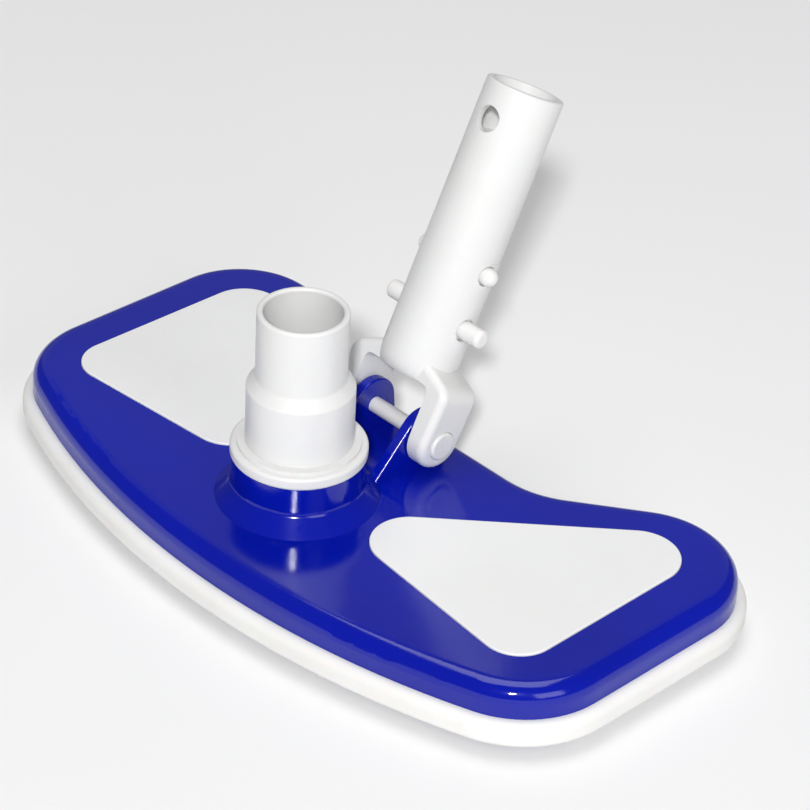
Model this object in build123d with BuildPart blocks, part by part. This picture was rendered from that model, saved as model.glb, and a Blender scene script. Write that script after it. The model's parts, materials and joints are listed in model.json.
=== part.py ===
from build123d import *
import os
from math import atan2, cos, degrees, dist, isclose, radians, sin, sqrt, tan

# Pool vacuum head: a weighted, triangular head on brush strips, with a hose spigot
# that swivels in a collar and a forked handle that tilts on an axle and locks into a pole.
#
# Frame: millimetres, +Z up, +Y towards the handle, +X to the right. The origin is on the
# swivel axis of the spigot, on the floor: the bristle tips lie in the plane Z = 0.

# ---------------------------------------------------------------- driving dimensions
# Heights above the floor
TOP_Z = 26.0                # flat top of the shell
LIP_Z = 14.2                # lip of the shell, where the bumper starts
SOLE_Z = 5.5                # rim of the shell and underside of the base plate
BUMPER_Z = 4.6              # lower edge of the bumper

# Outline of the head at the lip
HALF_WIDTH = 138.9
FRONT_Y = -47.9             # foremost point of the front arc
FRONT_R = 324.5
FRONT_CORNER_R = 36.0
BACK_Y = 66.1               # straight back edge, between the rear lobes
WAIST_X = 52.4              # where the back edge turns towards a lobe
WAIST_R = 34.6
LOBE_ANGLE = 37.0           # slope of the lobe's inner edge
LOBE_R = 33.0

# Shell and bumper
WALL = 2.8
TOP_EDGE_R = 6.3
REBATE = 1.5                # step in the shell wall that holds the bumper
BUMPER_OUT = 3.9            # bumper's reach beyond the lip
BUMPER_TOP_R = 3.6
BUMPER_LOW_R = 2.6
PLATE_T = 2.5
PLATE_GAP = 0.15

# Weight pockets and their covers: a rounded triangle each side
PAD_CORNERS = ((14.6, -1.7), (118.1, 100.1), (119.3, -11.2))
PAD_RADII = (14.9, 15.0, 13.6)
PAD_PROUD = 0.6
PAD_EDGE_R = 0.5
PAD_SEAT = 2.5              # depth of the seat that the cover rests on
PAD_GAP = 0.25
POCKET_INSET = 2.0
POCKET_WALL = 1.5
POCKET_FLOOR = 2.0
WEIGHT_GAP = 0.3
WEIGHT_T = 11.0

# Collar and spigot, heights above the shell's top
SKIRT_R = 29.4
NECK_R = 23.55
SKIRT_H = 6.5
CREASE_R = 2.5              # between the skirt and the neck
NECK_H = 17.0
JOURNAL_R = 20.4
JOURNAL_GAP = 0.06
DUCT_R = 25.2
DUCT_WALL = 2.5
FLANGE_R = 24.25
FLANGE_Z = 17.2
FLANGE_T = 4.6
FLANGE_EDGE_R = 1.2
STEP_R = 21.9
STEP_T = 1.5
CUFF_R = 19.05              # 38.1 mm hose cuff
CUFF_Z = 45.2
SMALL_CUFF_R = 16.0         # 32 mm hose cuff
SMALL_CUFF_Z = 49.3
SPIGOT_TOP = 75.1
SHOULDER_EDGE_R = 1.2       # on both edges of the cone between the cuffs
SPIGOT_BORE = 13.7
SPIGOT_LOW_BORE = 16.6
RIM_R = 1.0
RETAINER_R = 24.0
RETAINER_T = 2.5
RETAINER_GAP = 0.3
RETAINER_SCREW_R = 1.0
RETAINER_SCREW_L = 6.5
RETAINER_HOLE_R = 1.2
RETAINER_HEAD_R = 1.8
RETAINER_HEAD_T = 1.2
O_RING_R = 0.75
O_RING_H = 8.0
O_RING_GROOVE_H = 1.8
WASHER_T = 1.0
WASHER_W = 1.8
WASHER_GAP = 0.1

# Handle: an upright fork and tube, tilted back about the axle
AXLE_Y = 46.7
AXLE_H = 11.65              # axle above the shell's top
AXLE_R = 3.0
AXLE_GAP = 0.05
HANDLE_TILT = 25.7          # degrees back from upright
LUG_R = 10.0                # rounded top of the shell's lugs
LUG_IN = 11.0
LUG_OUT = 15.2
LUG_NOSE_Y = 20.2           # where the lug's sloping nose meets the shell's ceiling
LUG_BACK_Y = 58.0
LUG_EDGE_R = 0.7
TUBE_R = 14.3               # 28.6 mm, the bore of a pool pole
TUBE_WALL = 2.3
LOWER_TUBE_R = 14.5         # the tube is a little thicker up to the lock buttons
POLE_SEAT_Z = 66.5          # lowest point of the part that a pole slides over
TUBE_END = 127.4
TUBE_EDGE_R = 0.8
TUBE_FLOOR = 30.0           # closed end of the tube's bore
FORK_IN = 16.0
FORK_OUT = 23.3             # half-width at the ears' lower end
FORK_SHOULDER = 24.6        # half-width at the shoulder
FORK_HALF_DEPTH = 9.6
BRIDGE_Z = 18.8             # underside of the bridge between the ears
SHOULDER_Z = 20.0
ROOF_Z = 30.9               # where the slopes of the two shoulders would meet
BLEND_HALF_DEPTHS = ((BRIDGE_Z, 12.2), (20.2, 13.2), (22.4, 14.0), (25.4, 14.4))  # by height
BLEND_Z = 29.0              # where the flat bridge has turned into the round tube
FORK_EDGE_R = 2.8
BRIDGE_CORNER_R = 3.0
SHOULDER_CORNER_R = 6.0
CROSS_HOLE_R = 4.8
CROSS_HOLE_Z = 114.1
HEAD_R = 5.4
HEAD_T = 1.8
HEAD_SEAT_X = 23.0
HEAD_GAP = 0.15
HEAD_EDGE_R = 1.0

# Spring clip inside the tube
LOCK_Z = 61.8
LOCK_R = 3.3
LOCK_BASE_R = 3.6
LOCK_TIP = 18.8
LOCK_EDGE_R = 3.2
RELEASE_Z = 40.9
RELEASE_R = 3.5
RELEASE_BASE_R = 4.0
RELEASE_TIP = 23.4
RELEASE_EDGE_R = 1.6
BASE_TIP = 13.3             # the buttons' bases end just inside the tube's surface
BUTTON_GAP = 0.15
LOCK_SLOT = 0.2             # extra length of the slots below, for the arms' swing
RELEASE_SLOT = 0.4
ARM_OUT = 11.0
ARM_T = 2.0
ARM_HALF_W = 4.0
ARM_LOW_Z = 35.5
PIVOT_Z = 97.0
ARM_GAP = 0.3
DISC_T = 1.5

# Brushes and fasteners
BRUSH_INSET = 9.5
BRUSH_BASE_W = 6.0
BRUSH_BASE_GAP = 0.1
BRISTLE_W = 4.0
FRONT_BRUSH_HALF = 95.0
SIDE_BRUSH_Y = (0.0, 56.0)
REAR_BRUSH_X = (58.0, 92.0)
MOUTH_R = 22.0
SCREW_PLACES = ((35.0, -27.0), (124.0, -8.0), (127.0, 72.0), (46.0, 50.0))
BOSS_R = 4.0
SCREW_R = 1.5
SCREW_HOLE_R = 1.8
SCREW_HEAD_R = 3.0
SCREW_HEAD_T = 1.5
SCREW_L = 10.0
SCREW_SINK = 0.2            # the heads lie this far inside the sole
THREAD_GAP = 0.02

# ---------------------------------------------------------------- places worked out
PLATE_Z = SOLE_Z + PLATE_T
CEILING_Z = TOP_Z - WALL
AXLE_Z = TOP_Z + AXLE_H
POCKET_Z = PLATE_Z + POCKET_FLOOR
SEAT_Z = TOP_Z - PAD_SEAT
JOURNAL_Z = CEILING_Z - RETAINER_GAP
TILT = radians(HANDLE_TILT)
SCREWS = [(side * x, y) for x, y in SCREW_PLACES for side in (-1, 1)]
SIDES = ((-1, "left"), (1, "right"))

# Planes of the handle: across the tube, facing the front, and facing the right side
axle_point = (0, AXLE_Y, AXLE_Z)
across_tube = Plane(axle_point, x_dir=(1, 0, 0), z_dir=(0, sin(TILT), cos(TILT)))
facing_front = Plane(axle_point, x_dir=(1, 0, 0), z_dir=(0, -cos(TILT), sin(TILT)))
facing_side = Plane(axle_point, x_dir=(0, cos(TILT), -sin(TILT)), z_dir=(1, 0, 0))

os.makedirs("parts", exist_ok=True)


def save(piece, name):
    """Label a finished piece and write it as its own STEP file."""
    piece.part.label = name
    export_step(piece.part, f"parts/{name}.step")


# ---------------------------------------------------------------- outlines
# Head: two rear lobes, a straight back between them, straight ends and an arched front
front_centre_y = FRONT_Y + FRONT_R
corner_x = HALF_WIDTH - FRONT_CORNER_R
corner_y = front_centre_y - sqrt((FRONT_R - FRONT_CORNER_R) ** 2 - corner_x**2)
reach = FRONT_R / (FRONT_R - FRONT_CORNER_R)
arc_end = (corner_x * reach, front_centre_y + (corner_y - front_centre_y) * reach)
lobe_tip_y = BACK_Y + (HALF_WIDTH - WAIST_X) * tan(radians(LOBE_ANGLE))

with BuildSketch() as head_outline:
    with BuildLine():
        FilletPolyline(
            (-HALF_WIDTH, corner_y),
            (-HALF_WIDTH, lobe_tip_y),
            (-WAIST_X, BACK_Y),
            (WAIST_X, BACK_Y),
            (HALF_WIDTH, lobe_tip_y),
            (HALF_WIDTH, corner_y),
            radius=(LOBE_R, WAIST_R, WAIST_R, LOBE_R),
        )
        TangentArc((HALF_WIDTH, corner_y), arc_end, tangent=(0, -1))
        ThreePointArc(arc_end, (0, FRONT_Y), (-arc_end[0], arc_end[1]))
        TangentArc((-HALF_WIDTH, corner_y), (-arc_end[0], arc_end[1]), tangent=(0, -1))
    make_face()

# Covers of the weight pockets
pads = {}
for side, name in SIDES:
    with BuildSketch() as pad:
        with BuildLine():
            FilletPolyline(*[(side * x, y) for x, y in PAD_CORNERS], radius=PAD_RADII, close=True)
        make_face()
    pads[side] = pad.sketch


def pad_face(side, grow=0.0):
    """The rounded triangle of one side's pocket, grown by a margin (for use in a sketch)."""
    add(offset(pads[side], amount=grow, mode=Mode.PRIVATE) if grow else pads[side])


def head_face(grow=0.0):
    """The head's outline, grown by a margin (for use in a sketch)."""
    face = head_outline.sketch
    add(offset(face, amount=grow, mode=Mode.PRIVATE) if grow else face)


# Paths of the brush strips, all on the sole
brush_r = FRONT_R - BRUSH_INSET
lobe_slope = radians(LOBE_ANGLE)


def lobe_edge(x):
    """Point of the line BRUSH_INSET inside the right lobe's inner edge."""
    y = BACK_Y + (x - WAIST_X) * tan(lobe_slope) - BRUSH_INSET / cos(lobe_slope)
    return (x, y)


def front_arc(x):
    """Point of the front brush's arc."""
    return (x, front_centre_y - sqrt(brush_r**2 - x**2))


side_x = HALF_WIDTH - BRUSH_INSET
BRUSHES = {
    "front": (front_arc(-FRONT_BRUSH_HALF), front_arc(0), front_arc(FRONT_BRUSH_HALF)),
    "left": ((-side_x, SIDE_BRUSH_Y[0]), (-side_x, SIDE_BRUSH_Y[1])),
    "right": ((side_x, SIDE_BRUSH_Y[0]), (side_x, SIDE_BRUSH_Y[1])),
    "rear_left": tuple((-x, y) for x, y in map(lobe_edge, REAR_BRUSH_X)),
    "rear_right": tuple(map(lobe_edge, REAR_BRUSH_X)),
}


def brush_face(path, width):
    """A strip of the given width along a brush's path, with round ends (for use in a sketch)."""
    if len(path) == 3:
        line = ThreePointArc(*path, mode=Mode.PRIVATE)
        SlotArc(line, width)
        return
    (x0, y0), (x1, y1) = path
    angle = degrees(atan2(y1 - y0, x1 - x0))
    with Locations(((x0 + x1) / 2, (y0 + y1) / 2)):
        SlotCenterToCenter(dist(*path), width, rotation=angle)


# ---------------------------------------------------------------- shell of the head
with BuildPart() as top_shell:
    with BuildSketch(Plane.XY.offset(LIP_Z)):
        head_face()
    extrude(amount=TOP_Z - LIP_Z)
    fillet(top_shell.edges().group_by(Axis.Z)[-1], radius=TOP_EDGE_R)
    with BuildSketch(Plane.XY.offset(SOLE_Z)):
        head_face(-REBATE)
    extrude(amount=LIP_Z - SOLE_Z)
    with BuildSketch(Plane.XY.offset(SOLE_Z)):
        head_face(-REBATE - WALL)
    extrude(amount=CEILING_Z - SOLE_Z, mode=Mode.SUBTRACT)
    # Walls of the weight pockets, screw bosses and suction duct, down to the base plate
    with BuildSketch(Plane.XY.offset(PLATE_Z)):
        for side, name in SIDES:
            pad_face(side, POCKET_WALL)
        with Locations(*SCREWS):
            Circle(BOSS_R)
        Circle(DUCT_R + DUCT_WALL)
    extrude(amount=CEILING_Z - PLATE_Z)
    # Lugs for the axle, with a straight nose that runs down to the collar
    lug_middle = (LUG_IN + LUG_OUT) / 2
    for side, name in SIDES:
        with BuildSketch(Plane.YZ.offset(side * LUG_IN)):
            with BuildLine():
                CenterArc((AXLE_Y, AXLE_Z), LUG_R, 0, 360)
                Line((LUG_NOSE_Y, TOP_Z - WALL / 2), (LUG_BACK_Y, TOP_Z - WALL / 2))
            make_hull()
        extrude(amount=side * (LUG_OUT - LUG_IN))
    lug_edges = top_shell.edges().filter_by(lambda e: e.center().Z > TOP_Z + LUG_EDGE_R)
    long_edges = lug_edges.filter_by(lambda e: abs(abs(e.center().X) - lug_middle) > LUG_EDGE_R)
    fillet(long_edges, radius=LUG_EDGE_R)
    # Collar: a conical skirt and a straight neck
    with BuildSketch(Plane.XZ) as collar_view:
        with BuildLine():
            Polyline(
                (0, TOP_Z - WALL / 2),
                (SKIRT_R, TOP_Z - WALL / 2),
                (SKIRT_R, TOP_Z),
                (NECK_R, TOP_Z + SKIRT_H),
                (NECK_R, TOP_Z + NECK_H),
                (0, TOP_Z + NECK_H),
                close=True,
            )
        make_face()
        fillet(collar_view.vertices().filter_by(lambda v: v.Y == TOP_Z + SKIRT_H), radius=CREASE_R)
    revolve(axis=Axis.Z)
    # Seats and pockets for the covers and weights
    with BuildSketch(Plane.XY.offset(SEAT_Z)):
        for side, name in SIDES:
            pad_face(side, PAD_GAP)
    extrude(amount=PAD_SEAT, mode=Mode.SUBTRACT)
    with BuildSketch(Plane.XY.offset(POCKET_Z)):
        for side, name in SIDES:
            pad_face(side, -POCKET_INSET)
    extrude(amount=SEAT_Z - POCKET_Z, mode=Mode.SUBTRACT)
    # Swivel bore, duct, axle holes and screw holes
    with BuildSketch(Plane.XY.offset(CEILING_Z)):
        Circle(JOURNAL_R + JOURNAL_GAP)
    extrude(amount=WALL + NECK_H, mode=Mode.SUBTRACT)
    with BuildSketch(Plane.XY.offset(PLATE_Z)):
        Circle(DUCT_R)
    extrude(amount=CEILING_Z - PLATE_Z, mode=Mode.SUBTRACT)
    with BuildSketch(Plane.YZ):
        with Locations((AXLE_Y, AXLE_Z)):
            Circle(AXLE_R + AXLE_GAP)
    extrude(amount=LUG_OUT, both=True, mode=Mode.SUBTRACT)
    with BuildSketch(Plane.XY.offset(PLATE_Z)):
        with Locations(*SCREWS):
            Circle(SCREW_R)
    extrude(amount=SCREW_L, mode=Mode.SUBTRACT)
save(top_shell, "top_shell")

# ---------------------------------------------------------------- bumper round the rim
with BuildPart() as bumper:
    with BuildSketch(Plane.XY.offset(BUMPER_Z)):
        head_face(BUMPER_OUT)
    extrude(amount=LIP_Z - BUMPER_Z)
    fillet(bumper.edges().group_by(Axis.Z)[-1], radius=BUMPER_TOP_R)
    fillet(bumper.edges().group_by(Axis.Z)[0], radius=BUMPER_LOW_R)
    with BuildSketch(Plane.XY.offset(BUMPER_Z)):
        head_face(-REBATE)
    extrude(amount=LIP_Z - BUMPER_Z, mode=Mode.SUBTRACT)
save(bumper, "bumper")

# ---------------------------------------------------------------- base plate
with BuildPart() as base_plate:
    with BuildSketch(Plane.XY.offset(SOLE_Z)):
        head_face(-REBATE - WALL - PLATE_GAP)
        Circle(MOUTH_R, mode=Mode.SUBTRACT)
    extrude(amount=PLATE_T)
    with BuildSketch(Plane.XY.offset(SOLE_Z)):
        for path in BRUSHES.values():
            brush_face(path, BRUSH_BASE_W + 2 * BRUSH_BASE_GAP)
    extrude(amount=PLATE_T, mode=Mode.SUBTRACT)
    with Locations(Plane(origin=(0, 0, SOLE_Z), x_dir=(1, 0, 0), z_dir=(0, 0, -1))):
        with Locations(*[(x, -y) for x, y in SCREWS]):
            CounterSinkHole(SCREW_HOLE_R, SCREW_HEAD_R + SCREW_SINK, PLATE_T)
save(base_plate, "base_plate")

# ---------------------------------------------------------------- brushes
for name, path in BRUSHES.items():
    with BuildPart() as brush_base:
        with BuildSketch(Plane.XY.offset(SOLE_Z)):
            brush_face(path, BRUSH_BASE_W)
        extrude(amount=PLATE_T)
    save(brush_base, f"{name}_brush_base")
    with BuildPart() as bristles:
        with BuildSketch():
            brush_face(path, BRISTLE_W)
        extrude(amount=SOLE_Z)
    save(bristles, f"{name}_bristles")

# ---------------------------------------------------------------- weights and covers
for side, name in SIDES:
    with BuildPart() as weight:
        with BuildSketch(Plane.XY.offset(POCKET_Z)):
            pad_face(side, -POCKET_INSET - WEIGHT_GAP)
        extrude(amount=WEIGHT_T)
    save(weight, f"{name}_weight")
    with BuildPart() as weight_cover:
        with BuildSketch(Plane.XY.offset(SEAT_Z)):
            pad_face(side)
        extrude(amount=PAD_SEAT + PAD_PROUD)
        fillet(weight_cover.edges().group_by(Axis.Z)[-1], radius=PAD_EDGE_R)
    save(weight_cover, f"{name}_weight_cover")

# ---------------------------------------------------------------- screws under the base
screw_head_z = SOLE_Z + SCREW_SINK
head_taper = degrees(atan2(SCREW_HEAD_R - SCREW_R, SCREW_HEAD_T))
with BuildPart() as base_screws:
    with BuildSketch(Plane.XY.offset(screw_head_z)):
        with Locations(*SCREWS):
            Circle(SCREW_HEAD_R)
    extrude(amount=SCREW_HEAD_T, taper=head_taper)
    with BuildSketch(Plane.XY.offset(screw_head_z)):
        with Locations(*SCREWS):
            Circle(SCREW_R - THREAD_GAP)
    extrude(amount=SCREW_L)
save(base_screws, "base_screws")

# ---------------------------------------------------------------- swivelling spigot
flange_z = TOP_Z + FLANGE_Z
step_z = flange_z + FLANGE_T
groove_z = TOP_Z + O_RING_H
washer_r = (JOURNAL_R + FLANGE_R) / 2
retainer_screw_r = (SPIGOT_LOW_BORE + JOURNAL_R) / 2
with BuildPart() as hose_spigot:
    with BuildSketch(Plane.XZ):
        with BuildLine():
            Polyline(
                (SPIGOT_LOW_BORE, JOURNAL_Z),
                (JOURNAL_R, JOURNAL_Z),
                (JOURNAL_R, flange_z),
                (FLANGE_R, flange_z),
                (FLANGE_R, step_z),
                (STEP_R, step_z),
                (STEP_R, step_z + STEP_T),
                (CUFF_R, step_z + STEP_T),
                (CUFF_R, TOP_Z + CUFF_Z),
                (SMALL_CUFF_R, TOP_Z + SMALL_CUFF_Z),
                (SMALL_CUFF_R, TOP_Z + SPIGOT_TOP),
                (SPIGOT_BORE, TOP_Z + SPIGOT_TOP),
                (SPIGOT_BORE, TOP_Z + CUFF_Z),
                (SPIGOT_LOW_BORE, TOP_Z + CUFF_Z - (SPIGOT_LOW_BORE - SPIGOT_BORE)),
                close=True,
            )
        make_face()
    revolve(axis=Axis.Z)
    rims = hose_spigot.edges().filter_by(GeomType.CIRCLE)
    fillet(rims.group_by(Axis.Z)[-1], radius=RIM_R)
    circles = hose_spigot.edges().filter_by(GeomType.CIRCLE)
    fillet(circles.filter_by(lambda e: isclose(e.radius, FLANGE_R)), radius=FLANGE_EDGE_R)
    circles = hose_spigot.edges().filter_by(GeomType.CIRCLE)
    cone_top = circles.filter_by(lambda e: isclose(e.center().Z, TOP_Z + SMALL_CUFF_Z))
    cone_foot = circles.filter_by(
        lambda e: isclose(e.center().Z, TOP_Z + CUFF_Z) and isclose(e.radius, CUFF_R)
    )
    fillet(cone_top + cone_foot, radius=SHOULDER_EDGE_R)
    # Groove of the O-ring and recess of the thrust washer
    with BuildSketch(Plane.XZ):
        with Locations((JOURNAL_R, groove_z)):
            Rectangle(4 * O_RING_R, O_RING_GROOVE_H)
        with Locations((washer_r, flange_z)):
            Rectangle(WASHER_W + 2 * WASHER_GAP, 2 * (WASHER_T - FLANGE_Z + NECK_H))
    revolve(axis=Axis.Z, mode=Mode.SUBTRACT)
    with BuildSketch(Plane.XY.offset(JOURNAL_Z)):
        with PolarLocations(retainer_screw_r, 3):
            Circle(RETAINER_SCREW_R)
    extrude(amount=RETAINER_SCREW_L + RETAINER_GAP, mode=Mode.SUBTRACT)
save(hose_spigot, "hose_spigot")

with BuildPart() as swivel_washer:
    with BuildSketch(Plane.XY.offset(TOP_Z + NECK_H)):
        Circle(washer_r + WASHER_W / 2)
        Circle(washer_r - WASHER_W / 2, mode=Mode.SUBTRACT)
    extrude(amount=WASHER_T)
save(swivel_washer, "swivel_washer")

with BuildPart() as swivel_o_ring:
    with BuildSketch(Plane.XZ):
        with Locations((JOURNAL_R - O_RING_R, groove_z)):
            Circle(O_RING_R)
    revolve(axis=Axis.Z)
save(swivel_o_ring, "swivel_o_ring")

with BuildPart() as swivel_retainer:
    with BuildSketch(Plane.XY.offset(JOURNAL_Z - RETAINER_T)):
        Circle(RETAINER_R)
        Circle(SPIGOT_LOW_BORE, mode=Mode.SUBTRACT)
        with PolarLocations(retainer_screw_r, 3):
            Circle(RETAINER_HOLE_R, mode=Mode.SUBTRACT)
    extrude(amount=RETAINER_T)
save(swivel_retainer, "swivel_retainer")

with BuildPart() as retainer_screws:
    with BuildSketch(Plane.XY.offset(JOURNAL_Z - RETAINER_T - RETAINER_HEAD_T)):
        with PolarLocations(retainer_screw_r, 3):
            Circle(RETAINER_HEAD_R)
    extrude(amount=RETAINER_HEAD_T)
    with BuildSketch(Plane.XY.offset(JOURNAL_Z - RETAINER_T)):
        with PolarLocations(retainer_screw_r, 3):
            Circle(RETAINER_SCREW_R - THREAD_GAP)
    extrude(amount=RETAINER_T + RETAINER_SCREW_L)
save(retainer_screws, "retainer_screws")

# ---------------------------------------------------------------- handle: fork and tube
def outer_edge(edge):
    """Whether an edge of the fork is on the outside of an ear or along a shoulder."""
    middle = facing_front.to_local_coords(edge.center())
    on_ear = abs(middle.X) > (FORK_IN + FORK_OUT) / 2
    return on_ear or (middle.Y > SHOULDER_Z and abs(middle.Z) > AXLE_R)


with BuildPart() as handle:
    # Fork: its front view, cut to the rounded side view of the ears
    with BuildSketch(facing_front) as front_view:
        with BuildLine():
            Polyline(
                (0, ROOF_Z),
                (FORK_SHOULDER, SHOULDER_Z),
                (FORK_OUT, -FORK_HALF_DEPTH),
                (FORK_IN, -FORK_HALF_DEPTH),
                (FORK_IN, BRIDGE_Z),
                (-FORK_IN, BRIDGE_Z),
                (-FORK_IN, -FORK_HALF_DEPTH),
                (-FORK_OUT, -FORK_HALF_DEPTH),
                (-FORK_SHOULDER, SHOULDER_Z),
                close=True,
            )
        make_face()
        fillet(front_view.vertices().filter_by(lambda v: v.Y == BRIDGE_Z), radius=BRIDGE_CORNER_R)
        fillet(front_view.vertices().filter_by(lambda v: v.Y == SHOULDER_Z), radius=SHOULDER_CORNER_R)
    extrude(amount=FORK_HALF_DEPTH, both=True)
    with BuildSketch(facing_side):
        with Locations((0, ROOF_Z / 2)):
            Rectangle(2 * FORK_HALF_DEPTH, ROOF_Z)
        Circle(FORK_HALF_DEPTH)
    extrude(amount=2 * FORK_SHOULDER, both=True, mode=Mode.INTERSECT)
    # Round the outer edges of the ears and shoulders
    fillet(handle.edges().filter_by(outer_edge), radius=FORK_EDGE_R)
    # Blend from the flat bridge to the round tube, then the tube with its bore
    for height, half_depth in BLEND_HALF_DEPTHS:
        with BuildSketch(across_tube.offset(height)):
            Ellipse(LOWER_TUBE_R, half_depth)
    with BuildSketch(across_tube.offset(BLEND_Z)):
        Circle(LOWER_TUBE_R)
    loft()
    with BuildSketch(across_tube.offset(BLEND_Z)):
        Circle(LOWER_TUBE_R)
    extrude(amount=POLE_SEAT_Z - BLEND_Z)
    with BuildSketch(across_tube.offset(POLE_SEAT_Z)):
        Circle(TUBE_R)
    extrude(amount=TUBE_END - POLE_SEAT_Z)
    rims = handle.edges().filter_by(GeomType.CIRCLE)
    fillet(rims.sort_by(lambda e: across_tube.to_local_coords(e.center()).Z)[-1], radius=TUBE_EDGE_R)
    with BuildSketch(across_tube.offset(TUBE_FLOOR)):
        Circle(TUBE_R - TUBE_WALL)
    extrude(amount=TUBE_END - TUBE_FLOOR, mode=Mode.SUBTRACT)
    with BuildSketch(facing_side):
        with Locations((0, LOCK_Z - LOCK_SLOT / 2)):
            SlotCenterToCenter(LOCK_SLOT, 2 * (LOCK_BASE_R + BUTTON_GAP), rotation=90)
        with Locations((0, RELEASE_Z - RELEASE_SLOT / 2)):
            SlotCenterToCenter(RELEASE_SLOT, 2 * (RELEASE_BASE_R + BUTTON_GAP), rotation=90)
    extrude(amount=2 * TUBE_R, both=True, mode=Mode.SUBTRACT)
    with BuildSketch(facing_front):
        with Locations((0, CROSS_HOLE_Z)):
            Circle(CROSS_HOLE_R)
    extrude(amount=2 * TUBE_R, both=True, mode=Mode.SUBTRACT)
    with BuildSketch(facing_side):
        Circle(AXLE_R)
    extrude(amount=2 * FORK_SHOULDER, both=True, mode=Mode.SUBTRACT)
    for side, name in SIDES:
        with BuildSketch(facing_side.offset(side * HEAD_SEAT_X)):
            Circle(HEAD_R + HEAD_GAP)
        extrude(amount=side * FORK_SHOULDER, mode=Mode.SUBTRACT)
save(handle, "handle")

# ---------------------------------------------------------------- axle and its cap
with BuildPart() as axle:
    with BuildSketch(facing_side.offset(-HEAD_SEAT_X - HEAD_T)):
        Circle(AXLE_R)
    extrude(amount=2 * HEAD_SEAT_X + HEAD_T)
    with BuildSketch(facing_side.offset(HEAD_SEAT_X)):
        Circle(HEAD_R)
    extrude(amount=HEAD_T)
    fillet(axle.edges().sort_by(Axis.X)[-1], radius=HEAD_EDGE_R)
save(axle, "axle")

with BuildPart() as axle_cap:
    with BuildSketch(facing_side.offset(-HEAD_SEAT_X)):
        Circle(HEAD_R)
        Circle(AXLE_R, mode=Mode.SUBTRACT)
    extrude(amount=-HEAD_T)
save(axle_cap, "axle_cap")

# ---------------------------------------------------------------- spring clip
arm_in = ARM_OUT - ARM_T
with BuildPart() as clip_root:
    with BuildSketch(facing_front):
        with Locations((0, PIVOT_Z)):
            Circle(ARM_OUT)
            Circle(arm_in, mode=Mode.SUBTRACT)
            with Locations((0, -ARM_OUT / 2)):
                Rectangle(2 * ARM_OUT, ARM_OUT, mode=Mode.SUBTRACT)
    extrude(amount=ARM_HALF_W, both=True)
    with BuildSketch(across_tube.offset(PIVOT_Z + ARM_OUT - DISC_T)):
        Circle(TUBE_R - TUBE_WALL)
    extrude(amount=DISC_T)
save(clip_root, "clip_root")

for side, name in SIDES:
    with BuildPart() as clip_arm:
        with BuildSketch(facing_front):
            with Locations((side * (ARM_OUT + arm_in) / 2, (PIVOT_Z - ARM_GAP + ARM_LOW_Z) / 2)):
                Rectangle(ARM_T, PIVOT_Z - ARM_GAP - ARM_LOW_Z)
        extrude(amount=ARM_HALF_W, both=True)
        for height, base_r, radius, tip, rounding in (
            (LOCK_Z, LOCK_BASE_R, LOCK_R, LOCK_TIP, LOCK_EDGE_R),
            (RELEASE_Z, RELEASE_BASE_R, RELEASE_R, RELEASE_TIP, RELEASE_EDGE_R),
        ):
            with BuildSketch(facing_side.offset(side * arm_in)):
                with Locations((0, height)):
                    Circle(base_r)
            extrude(amount=side * (BASE_TIP - arm_in))
            with BuildSketch(facing_side.offset(side * arm_in)):
                with Locations((0, height)):
                    Circle(radius)
            button = extrude(amount=side * (tip - arm_in), mode=Mode.PRIVATE)
            end = button.edges().sort_by(Axis.X)[-1 if side > 0 else 0]
            add(button.fillet(rounding, [end]))
    save(clip_arm, f"{name}_clip_arm")
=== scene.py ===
import json
import math
import random

import bmesh
import bpy
from mathutils import Matrix, Vector


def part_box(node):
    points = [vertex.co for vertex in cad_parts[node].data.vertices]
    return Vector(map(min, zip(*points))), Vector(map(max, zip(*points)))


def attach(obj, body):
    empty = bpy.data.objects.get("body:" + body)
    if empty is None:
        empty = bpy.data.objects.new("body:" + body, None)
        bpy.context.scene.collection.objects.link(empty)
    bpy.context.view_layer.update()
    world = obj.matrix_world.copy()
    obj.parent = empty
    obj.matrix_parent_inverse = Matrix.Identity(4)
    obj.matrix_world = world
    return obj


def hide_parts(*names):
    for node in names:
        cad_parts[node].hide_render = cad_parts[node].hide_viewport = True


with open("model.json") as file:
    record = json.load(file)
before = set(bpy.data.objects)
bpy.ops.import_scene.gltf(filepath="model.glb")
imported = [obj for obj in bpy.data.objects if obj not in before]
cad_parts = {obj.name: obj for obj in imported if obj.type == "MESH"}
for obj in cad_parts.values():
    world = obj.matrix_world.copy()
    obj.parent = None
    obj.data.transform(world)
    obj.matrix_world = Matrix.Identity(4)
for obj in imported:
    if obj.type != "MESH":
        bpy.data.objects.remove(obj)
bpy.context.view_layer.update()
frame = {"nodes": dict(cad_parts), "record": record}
nodes = frame["nodes"]
scene = bpy.context.scene

# Looks of a pool vacuum head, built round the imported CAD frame. All lengths are in metres,
# in the frame's own axes: +Z up, +Y towards the handle, origin on the floor under the spigot.

# ---------------------------------------------------------------- camera
CAMERA_PLACE = (0.6139, -0.5666, 0.6199)
CAMERA_AZIMUTH = 45.18       # degrees, turned from the front towards the right end
CAMERA_ELEVATION = 32.85
CAMERA_ROLL = 3.09
CAMERA_LENS = 129.3          # mm
SENSOR_WIDTH = 36.0          # mm
CAMERA_SHIFT = (0.0159, -0.0488)   # shares of the sensor's width
NEAREST_SEEN = 0.01


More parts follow.
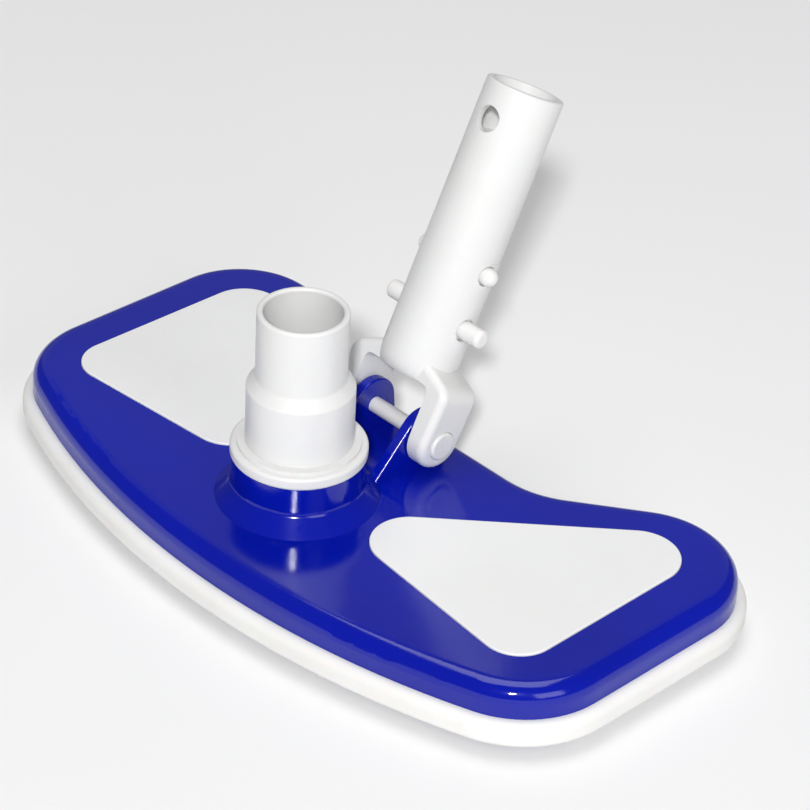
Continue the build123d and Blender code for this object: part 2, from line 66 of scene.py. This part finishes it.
def make_camera():
    """The photograph's viewpoint."""
    data = bpy.data.cameras.new("camera")
    data.sensor_width = SENSOR_WIDTH
    data.lens = CAMERA_LENS
    data.shift_x, data.shift_y = CAMERA_SHIFT
    data.clip_start = NEAREST_SEEN
    camera = bpy.data.objects.new("camera", data)
    turn = Matrix.Rotation(math.radians(CAMERA_AZIMUTH), 4, "Z")
    tip = Matrix.Rotation(math.radians(90 - CAMERA_ELEVATION), 4, "X")
    roll = Matrix.Rotation(math.radians(CAMERA_ROLL), 4, "Z")
    camera.matrix_world = Matrix.Translation(CAMERA_PLACE) @ turn @ tip @ roll
    scene.collection.objects.link(camera)
    scene.camera = camera


# ---------------------------------------------------------------- studio
FLOOR_SIZE = 24.0
FLOOR_WHITE = 0.86
SKY_STRENGTH = 0.12
# Each light: name, place, target, width and height, power in watts
LIGHTS = (
    ("flash", (1.75, -1.90, 1.93), (0.0, 0.0, 0.04), (0.20, 0.20), 82.0),
    ("right", (2.6, -0.5, 1.2), (0.0, 0.0, 0.05), (1.3, 1.3), 15.0),
    ("top", (-0.3, 0.3, 3.0), (0.0, 0.0, 0.0), (2.0, 2.0), 34.0),
    ("back", (-1.4, 1.4, 1.3), (0.0, 0.0, 0.0), (3.2, 2.0), 4.0),
)


def make_studio():
    """A pale floor, an even pale surround and four lights."""
    world = bpy.data.worlds.new("surround")
    scene.world = world
    world.use_nodes = True
    background = world.node_tree.nodes["Background"]
    background.inputs["Color"].default_value = (1.0, 1.0, 1.0, 1.0)
    background.inputs["Strength"].default_value = SKY_STRENGTH
    for name, place, target, (width, height), power in LIGHTS:
        data = bpy.data.lights.new(name, "AREA")
        data.shape = "RECTANGLE"
        data.size = width
        data.size_y = height
        data.energy = power
        light = bpy.data.objects.new(name, data)
        light.location = place
        aim = Vector(target) - Vector(place)
        light.rotation_euler = aim.to_track_quat("-Z", "Y").to_euler()
        scene.collection.objects.link(light)
    mesh = bpy.data.meshes.new("floor")
    half = FLOOR_SIZE / 2
    corners = [(-half, -half, 0), (half, -half, 0), (half, half, 0), (-half, half, 0)]
    mesh.from_pydata(corners, [], [(0, 1, 2, 3)])
    floor = bpy.data.objects.new("floor", mesh)
    scene.collection.objects.link(floor)
    colour = (FLOOR_WHITE, FLOOR_WHITE, FLOOR_WHITE)
    finish = Finish("studio_floor", colour, roughness=0.9, Specular_IOR_Level=0.1)
    finish.vary_colour(scale=3.0, dark=0.99)
    mesh.materials.append(finish.material)
    scene.view_settings.view_transform = "Standard"


# ---------------------------------------------------------------- materials
# Noise runs from 0 to 1, and the distance to a cell's middle from 0 to about 1
MOTTLE_RANGE = (0.35, 0.7)        # from the plain colour to the darker one
ROUGHNESS_RANGE = (0.3, 0.7)      # from the smoothest to the roughest
SPECK_REACH = 0.10                # from a speck's middle to its edge
STREAK_LEVEL = 0.5                # noise below this is all streak
STREAK_FADE = 0.06                # a streak fades out over this much more
STREAK_WAVER = 0.3
STREAK_STRETCHES = ((1, 0.04, 1), (0.05, 1, 1))


class Finish:
    """A Principled material with its detail worked out from places on the piece."""

    def __init__(self, name, colour, roughness, **sockets):
        self.material = bpy.data.materials.new(name)
        self.material.use_nodes = True
        self.tree = self.material.node_tree
        self.shader = self.tree.nodes["Principled BSDF"]
        self.colour = colour
        self.roughness = roughness
        self.shader.inputs["Base Color"].default_value = (*colour, 1.0)
        self.shader.inputs["Roughness"].default_value = roughness
        for socket, value in sockets.items():
            self.shader.inputs[socket.replace("_", " ")].default_value = value
        self.place = self.node("ShaderNodeTexCoord").outputs["Object"]
        self.normal = None

    def node(self, kind, **settings):
        made = self.tree.nodes.new(kind)
        for key, value in settings.items():
            setattr(made, key, value)
        return made

    def link(self, output, socket):
        self.tree.links.new(output, socket)

    def stretched(self, stretch):
        """The place, scaled by a different amount along each axis."""
        mapping = self.node("ShaderNodeMapping")
        mapping.inputs["Scale"].default_value = stretch
        self.link(self.place, mapping.inputs["Vector"])
        return mapping.outputs["Vector"]

    def noise(self, scale, detail=3.0, stretch=(1, 1, 1), distortion=0.0):
        """Smooth noise with features about 1/scale metres across."""
        made = self.node("ShaderNodeTexNoise")
        made.inputs["Scale"].default_value = scale
        made.inputs["Detail"].default_value = detail
        made.inputs["Distortion"].default_value = distortion
        self.link(self.stretched(stretch), made.inputs["Vector"])
        return made.outputs["Fac"]

    def cells(self, scale):
        """Distance to the middles of random cells about 1/scale metres across."""
        made = self.node("ShaderNodeTexVoronoi", feature="F1")
        made.inputs["Scale"].default_value = scale
        self.link(self.place, made.inputs["Vector"])
        return made.outputs["Distance"]

    def ranged(self, value, low, high, to_low, to_high):
        """The value, moved from one range to another and held inside it."""
        made = self.node("ShaderNodeMapRange")
        sockets = ("From Min", "From Max", "To Min", "To Max")
        for key, number in zip(sockets, (low, high, to_low, to_high)):
            made.inputs[key].default_value = number
        self.link(value, made.inputs["Value"])
        return made.outputs["Result"]

    def streaks(self, scale):
        """Long streaks in two directions: 1 on a streak, 0 elsewhere."""
        fade_end = STREAK_LEVEL + STREAK_FADE
        both = self.node("ShaderNodeMath", operation="MAXIMUM")
        for index, stretch in enumerate(STREAK_STRETCHES):
            lines = self.noise(scale, detail=1.0, stretch=stretch, distortion=STREAK_WAVER)
            streak = self.ranged(lines, STREAK_LEVEL, fade_end, 1.0, 0.0)
            self.link(streak, both.inputs[index])
        return both.outputs["Value"]

    def vary_colour(self, scale, dark, tint=(1, 1, 1), detail=4.0):
        """Soft mottling between the colour and a darker, tinted one."""
        mix = self.node("ShaderNodeMix", data_type="RGBA")
        mix.inputs["A"].default_value = (*self.colour, 1.0)
        darker = (c * dark * t for c, t in zip(self.colour, tint))
        mix.inputs["B"].default_value = (*darker, 1.0)
        patches = self.ranged(self.noise(scale, detail), *MOTTLE_RANGE, 0.0, 1.0)
        self.link(patches, mix.inputs["Factor"])
        self.link(mix.outputs["Result"], self.shader.inputs["Base Color"])
        self.colour_mix = mix

    def dust(self, colour, scale, amount):
        """Specks of another colour over the mottled one, each fading out from its middle."""
        mix = self.node("ShaderNodeMix", data_type="RGBA")
        mix.inputs["B"].default_value = (*colour, 1.0)
        specks = self.ranged(self.cells(scale), 0.0, SPECK_REACH, amount, 0.0)
        self.link(specks, mix.inputs["Factor"])
        self.link(self.colour_mix.outputs["Result"], mix.inputs["A"])
        self.link(mix.outputs["Result"], self.shader.inputs["Base Color"])

    def vary_roughness(self, scale, spread, streak_scale=None):
        """Roughness that wanders, with long streaks that are a little rougher."""
        low = self.roughness - spread
        high = self.roughness + spread
        rough = self.ranged(self.noise(scale), *ROUGHNESS_RANGE, low, high)
        if streak_scale:
            total = self.node("ShaderNodeMath", operation="MULTIPLY_ADD")
            self.link(self.streaks(streak_scale), total.inputs[0])
            total.inputs[1].default_value = spread
            self.link(rough, total.inputs[2])
            rough = total.outputs["Value"]
        self.link(rough, self.shader.inputs["Roughness"])

    def bump(self, height, depth, strength):
        """Relief of the given depth in metres, on top of any relief added before."""
        made = self.node("ShaderNodeBump")
        made.inputs["Strength"].default_value = strength
        made.inputs["Distance"].default_value = depth
        self.link(height, made.inputs["Height"])
        if self.normal:
            self.link(self.normal, made.inputs["Normal"])
        self.normal = made.outputs["Normal"]
        self.link(self.normal, self.shader.inputs["Normal"])


# Colours that materials start from, in linear light
BLUE = (0.0010, 0.008, 0.345)
DEEP_BLUE = (0.002, 0.006, 0.20)
WHITE = (0.74, 0.74, 0.737)
COVER_WHITE = (0.83, 0.832, 0.835)
WARM_WHITE = (0.80, 0.797, 0.785)
NYLON_WHITE = (0.78, 0.78, 0.75)
STRIP_WHITE = (0.74, 0.74, 0.73)
ZINC = (0.42, 0.43, 0.45)
STAINLESS = (0.62, 0.62, 0.63)
RUBBER_BLACK = (0.02, 0.02, 0.02)
BLUE_DUST = (0.05, 0.07, 0.40)
GREY_DUST = (0.55, 0.54, 0.51)


def gloss_blue():
    """Glossy moulded ABS of the shell, with faint ripple and handling marks."""
    finish = Finish("gloss_blue_abs", BLUE, roughness=0.10, IOR=1.50)
    finish.vary_colour(scale=14.0, dark=0.86, tint=(0.9, 0.9, 1.0))
    finish.dust(BLUE_DUST, scale=190.0, amount=0.08)
    finish.vary_roughness(scale=32.0, spread=0.03, streak_scale=240.0)
    finish.bump(finish.noise(38.0, detail=2.0), depth=0.0004, strength=0.25)
    finish.bump(finish.noise(900.0, detail=2.0), depth=0.00003, strength=0.5)
    return finish.material


def grained_blue():
    """The base plate's plastic, with a fine spark-eroded grain."""
    finish = Finish("grained_blue_abs", DEEP_BLUE, roughness=0.42, IOR=1.5)
    finish.vary_colour(scale=20.0, dark=0.8, tint=(0.9, 0.95, 1.0))
    finish.vary_roughness(scale=60.0, spread=0.08, streak_scale=260.0)
    finish.bump(finish.cells(1100.0), depth=0.00012, strength=0.7)
    return finish.material


def satin_white(name, colour, roughness, grain):
    """Satin white ABS: slight sink and ripple from the mould, and a fine grain."""
    finish = Finish(name, colour, roughness, IOR=1.5,
                    Subsurface_Weight=0.08, Subsurface_Scale=0.002)
    finish.vary_colour(scale=22.0, dark=0.965, tint=(1.0, 1.0, 0.99))
    finish.vary_roughness(scale=45.0, spread=0.05, streak_scale=300.0)
    finish.bump(finish.noise(60.0, detail=2.0), depth=0.0003, strength=0.2)
    finish.bump(finish.noise(grain, detail=3.0), depth=0.00005, strength=0.5)
    return finish.material


def soft_vinyl():
    """The bumper's vinyl: softer shine, fine grain and faint scuffs."""
    finish = Finish("white_vinyl", WARM_WHITE, roughness=0.44, IOR=1.48,
                    Subsurface_Weight=0.12, Subsurface_Scale=0.003)
    finish.vary_colour(scale=28.0, dark=0.955, tint=(1.0, 0.995, 0.98))
    finish.dust(GREY_DUST, scale=240.0, amount=0.12)
    finish.vary_roughness(scale=50.0, spread=0.07, streak_scale=200.0)
    finish.bump(finish.noise(75.0, detail=2.0), depth=0.0004, strength=0.25)
    finish.bump(finish.noise(1300.0, detail=3.0), depth=0.00006, strength=0.6)
    return finish.material


def plain_acetal(name, colour):
    """Slippery acetal of the pins, clip and washer, with fine turning or ejection marks."""
    finish = Finish(name, colour, roughness=0.30, IOR=1.48,
                    Subsurface_Weight=0.10, Subsurface_Scale=0.002)
    finish.vary_colour(scale=70.0, dark=0.95, tint=(1.0, 1.0, 0.98))
    finish.vary_roughness(scale=120.0, spread=0.05)
    finish.bump(finish.noise(700.0, detail=2.0, stretch=(4, 1, 1)), depth=0.00004, strength=0.5)
    return finish.material


def nylon():
    """Nylon filament: each a little lighter or darker than its neighbours."""
    finish = Finish("nylon_filament", NYLON_WHITE, roughness=0.36, IOR=1.53,
                    Subsurface_Weight=0.15, Subsurface_Scale=0.001)
    finish.vary_colour(scale=900.0, dark=0.72, tint=(1.0, 0.99, 0.94), detail=1.0)
    finish.vary_roughness(scale=400.0, spread=0.08)
    finish.bump(finish.noise(2500.0, detail=1.0, stretch=(1, 1, 0.1)), depth=0.00002, strength=0.4)
    return finish.material


def brush_plastic():
    """Polypropylene of the strips that the bristles are set in."""
    finish = Finish("brush_strip_pp", STRIP_WHITE, roughness=0.5, IOR=1.49)
    finish.vary_colour(scale=90.0, dark=0.92)
    finish.vary_roughness(scale=150.0, spread=0.06)
    finish.bump(finish.cells(1400.0), depth=0.00006, strength=0.5)
    return finish.material


def metal(name, colour, roughness, scale):
    """Stainless or zinc-plated steel with drawn lines and small stains."""
    finish = Finish(name, colour, roughness, Metallic=1.0)
    finish.vary_colour(scale=scale, dark=0.8)
    finish.vary_roughness(scale=scale, spread=0.08, streak_scale=4 * scale)
    finish.bump(finish.noise(3 * scale, detail=2.0, stretch=(8, 1, 1)), depth=0.00003, strength=0.5)
    return finish.material


def black_rubber():
    """Nitrile of the O-ring."""
    finish = Finish("nitrile_rubber", RUBBER_BLACK, roughness=0.55, IOR=1.5)
    finish.vary_colour(scale=200.0, dark=0.7)
    finish.vary_roughness(scale=300.0, spread=0.08)
    finish.bump(finish.noise(1500.0), depth=0.00004, strength=0.5)
    return finish.material


def paint_nodes():
    """Gives every CAD node the finish of its material slot."""
    finishes = {
        "blue_shell": gloss_blue(),
        "blue_base": grained_blue(),
        "bumper_vinyl": soft_vinyl(),
        "white_cover": satin_white("cover_white_abs", COVER_WHITE, roughness=0.36, grain=1100.0),
        "white_abs": satin_white("white_abs", WHITE, roughness=0.33, grain=900.0),
        "white_pin": plain_acetal("pin_acetal", WHITE),
        "white_clip": plain_acetal("clip_acetal", WARM_WHITE),
        "acetal": plain_acetal("washer_acetal", COVER_WHITE),
        "brush_base": brush_plastic(),
        "bristle": nylon(),
        "weight_steel": metal("zinc_plated_steel", ZINC, roughness=0.45, scale=60.0),
        "stainless": metal("stainless_steel", STAINLESS, roughness=0.28, scale=400.0),
        "rubber": black_rubber(),
    }
    for part in frame["record"]["subparts"]:
        slots = nodes[part["node"]].data.materials
        slots.clear()
        slots.append(finishes[part["material_slot"]])
    return finishes


# ---------------------------------------------------------------- pieces
def make_piece(name, mesh_data, material, body, replaced):
    """A shown piece from a finished bmesh, riding on a body in place of CAD nodes."""
    mesh = bpy.data.meshes.new(name)
    mesh_data.to_mesh(mesh)
    mesh_data.free()
    mesh.materials.append(material)
    piece = bpy.data.objects.new(name, mesh)
    scene.collection.objects.link(piece)
    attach(piece, body)
    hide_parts(*replaced)


# Bristles: two staggered rows of tufts in each strip
STRIP_WIDTH = 0.004          # of the CAD strips, which have round ends
TUFT_PITCH = 0.0034
ROW_OFFSET = 0.0009          # of each row from the strip's middle
ROW_STAGGER = 0.25           # of each row along the strip, as a share of the pitch
AIM_STEP = 0.01              # share of the strip over which its direction is measured
TUFT_R = 0.00085             # before the filaments lean out
ROOT_SHARE = 0.8             # of a filament's place in its tuft, at its root
LEAN_RANGE = (0.1, 0.5)      # how much farther out a tip ends, as a share of that place
BRISTLE_SEED = 7
FILAMENTS = 10               # in each tuft
FILAMENT_R = 0.00017
FILAMENT_TAPER = 0.35        # share of its radius that a filament loses by its tip
FILAMENT_BEND = 0.0005
FILAMENT_SIDES = 5
FILAMENT_JOINTS = 3
ROOT_DEPTH = 0.0002          # how far the filaments reach into the strip's base
SHORTEST = 0.0007            # how far above the floor the shortest tips end


def strip_line(node):
    """Function from 0..1 to a place along the middle of a brush strip, and that line's length.

    The front strip follows an arc and the others are straight."""
    low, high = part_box(node)
    r = STRIP_WIDTH / 2
    if node.startswith("front"):
        half = high.x - r
        rise = (high.y - r) - (low.y + r)
        radius = (half**2 + rise**2) / (2 * rise)
        centre_y = low.y + r + radius
        span = 2 * math.asin(half / radius)

        def along(t):
            angle = (t - 0.5) * span
            return Vector((radius * math.sin(angle), centre_y - radius * math.cos(angle), 0))

        return along, radius * span
    start = Vector((low.x + r, low.y + r, 0))
    end = Vector((high.x - r, high.y - r, 0))
    if node.startswith("rear_left"):
        start.y, end.y = end.y, start.y
    return (lambda t: start.lerp(end, t)), (end - start).length


def add_filament(mesh, root, tip, bend):
    """A thin round filament that curves from its root down to its tip."""
    rings = []
    for joint in range(FILAMENT_JOINTS + 1):
        t = joint / FILAMENT_JOINTS
        centre = root.lerp(tip, t) + bend * (t * (1 - t))
        r = FILAMENT_R * (1 - FILAMENT_TAPER * t)
        ring = []
        for side in range(FILAMENT_SIDES):
            angle = 2 * math.pi * side / FILAMENT_SIDES
            place = centre + Vector((r * math.cos(angle), r * math.sin(angle), 0))
            ring.append(mesh.verts.new(place))
        rings.append(ring)
    for upper, lower in zip(rings, rings[1:]):
        for side in range(FILAMENT_SIDES):
            after = (side + 1) % FILAMENT_SIDES
            face = mesh.faces.new((upper[side], lower[side], lower[after], upper[after]))
            face.smooth = True
    mesh.faces.new(rings[0])
    mesh.faces.new(reversed(rings[-1]))


def make_bristles(material):
    """Tufts of nylon filament for each of the brush strips."""
    shuffle = random.Random(BRISTLE_SEED)
    for node in sorted(n for n in nodes if n.endswith("_bristles")):
        along, length = strip_line(node)
        root_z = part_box(node)[1].z + ROOT_DEPTH
        mesh = bmesh.new()
        count = int(length / TUFT_PITCH)
        for row in (-1, 1):
            for index in range(count):
                t = (index + 0.5 + ROW_STAGGER * row) / count
                middle = along(t)
                step = along(min(t + AIM_STEP, 1)) - along(max(t - AIM_STEP, 0))
                ahead = step.normalized()
                across = Vector((-ahead.y, ahead.x, 0))
                centre = middle + across * row * ROW_OFFSET + Vector((0, 0, root_z))
                for _ in range(FILAMENTS):
                    angle = shuffle.uniform(0, 2 * math.pi)
                    out = TUFT_R * math.sqrt(shuffle.random())
                    aside = Vector((math.cos(angle), math.sin(angle), 0)) * out
                    lean = aside * shuffle.uniform(*LEAN_RANGE)
                    tip = centre + aside + lean
                    tip.z = SHORTEST * shuffle.random() ** 2
                    bend = Vector((shuffle.uniform(-1, 1), shuffle.uniform(-1, 1), 0)) * FILAMENT_BEND
                    add_filament(mesh, centre + aside * ROOT_SHARE, tip, bend)
        make_piece(node.replace("bristles", "tufts"), mesh, material, "head", [node])


# Screws: heads with a cross recess
SCREW_SEED = 11
SCREW_SIDES = 40
SCREW_REACH = 0.006          # a point this near the middle of a screw belongs to it
# Shares of the head's radius
CROSS_REACH = 0.56
CROSS_HALF_WIDTH = 0.15
CROSS_DEPTH = 0.42
# Size of the recess at its bottom, as a share of its size at the face
CROSS_TAPER = 0.55
# Countersunk screws: shares of the head's radius, then lengths
SINK_FACE = 0.97
SINK_SHANK = 0.5
SINK_SHANK_END = 0.49
SINK_POINT = 0.36
SINK_EDGE = 0.00008          # height of the bevel round the face
SINK_POINT_LENGTH = 0.0004
# Pan-head screws: shares of the head's radius, then the head's height and shares of it
PAN_FACE = 0.72
PAN_CROWN = 0.90
PAN_SHANK = 0.54
PAN_SHANK_END = 0.53
PAN_HEIGHT = 0.0012
PAN_CROWN_UP = 0.18
PAN_WIDEST_UP = 0.5


def screw_boxes(node):
    """Lowest and highest corners of each screw in a node that holds several."""
    found = []
    for vertex in nodes[node].data.vertices:
        place = vertex.co
        for low, high in found:
            middle = (low + high) / 2
            if math.hypot(place.x - middle.x, place.y - middle.y) < SCREW_REACH:
                low[:] = map(min, low, place)
                high[:] = map(max, high, place)
                break
        else:
            found.append((place.copy(), place.copy()))
    return found


def cross_outline(radius, turn):
    """Twelve corners of a cross, in order round its middle."""
    reach = radius * CROSS_REACH
    half = radius * CROSS_HALF_WIDTH
    corners = []
    for quarter in range(4):
        angle = turn + quarter * math.pi / 2
        out = Vector((math.cos(angle), math.sin(angle)))
        side = Vector((-out.y, out.x))
        corners += [out * reach - side * half, out * reach + side * half, out * half + side * half]
    return corners


def add_screw(mesh, low, high, profile, turn):
    """A screw that hangs head down: a turned profile closed by a face with a cross recess."""
    middle = (low + high) / 2
    head_r = max(r for r, _ in profile)
    rings = []
    for r, z in profile:
        ring = []
        for side in range(SCREW_SIDES):
            angle = 2 * math.pi * side / SCREW_SIDES
            place = (middle.x + r * math.cos(angle), middle.y + r * math.sin(angle), z)
            ring.append(mesh.verts.new(place))
        rings.append(ring)
    for lower, upper in zip(rings, rings[1:]):
        for side in range(SCREW_SIDES):
            after = (side + 1) % SCREW_SIDES
            face = mesh.faces.new((lower[side], lower[after], upper[after], upper[side]))
            face.smooth = True
    mesh.faces.new(rings[-1])
    face_z = profile[0][1]
    mouth, root = [], []
    for corner in cross_outline(head_r, turn):
        mouth.append(mesh.verts.new((middle.x + corner.x, middle.y + corner.y, face_z)))
        deep = corner * CROSS_TAPER
        deep_z = face_z + head_r * CROSS_DEPTH
        root.append(mesh.verts.new((middle.x + deep.x, middle.y + deep.y, deep_z)))
    count = len(mouth)
    for index in range(count):
        after = (index + 1) % count
        mesh.faces.new((mouth[after], mouth[index], root[index], root[after]))
    mesh.faces.new(reversed(root))
    edges = []
    for loop in (rings[0], mouth):
        edges += [mesh.edges.get((a, b)) for a, b in zip(loop, loop[1:] + loop[:1])]
    bmesh.ops.triangle_fill(mesh, use_beauty=True, edges=edges)


def countersunk(r, low, high):
    """Profile of a countersunk screw of head radius r, from its face at the bottom to its end."""
    return (
        (r * SINK_FACE, low),
        (r, low + SINK_EDGE),
        (r * SINK_SHANK, low + r * SINK_SHANK),
        (r * SINK_SHANK_END, high - SINK_POINT_LENGTH),
        (r * SINK_POINT, high),
    )


def pan_headed(r, low, high):
    """Profile of a pan-head screw of head radius r, from its face at the bottom to its end."""
    return (
        (r * PAN_FACE, low),
        (r * PAN_CROWN, low + PAN_HEIGHT * PAN_CROWN_UP),
        (r, low + PAN_HEIGHT * PAN_WIDEST_UP),
        (r, low + PAN_HEIGHT),
        (r * PAN_SHANK, low + PAN_HEIGHT),
        (r * PAN_SHANK_END, high),
    )


# Each set: piece, CAD node, body, profile
SCREW_SETS = (
    ("base_screw_set", "base_screws", "head", countersunk),
    ("retainer_screw_set", "retainer_screws", "spigot", pan_headed),
)


def make_screws(material):
    """Countersunk screws in the base plate and pan-head screws in the retainer."""
    shuffle = random.Random(SCREW_SEED)
    for name, node, body, profile in SCREW_SETS:
        mesh = bmesh.new()
        for low, high in screw_boxes(node):
            r = (high.x - low.x) / 2
            turn = shuffle.uniform(0, math.pi)
            add_screw(mesh, low, high, profile(r, low.z, high.z), turn)
        bmesh.ops.recalc_face_normals(mesh, faces=mesh.faces)
        make_piece(name, mesh, material, body, [node])


# ---------------------------------------------------------------- scene
make_camera()
make_studio()
finishes = paint_nodes()
make_bristles(finishes["bristle"])
make_screws(finishes["stainless"])
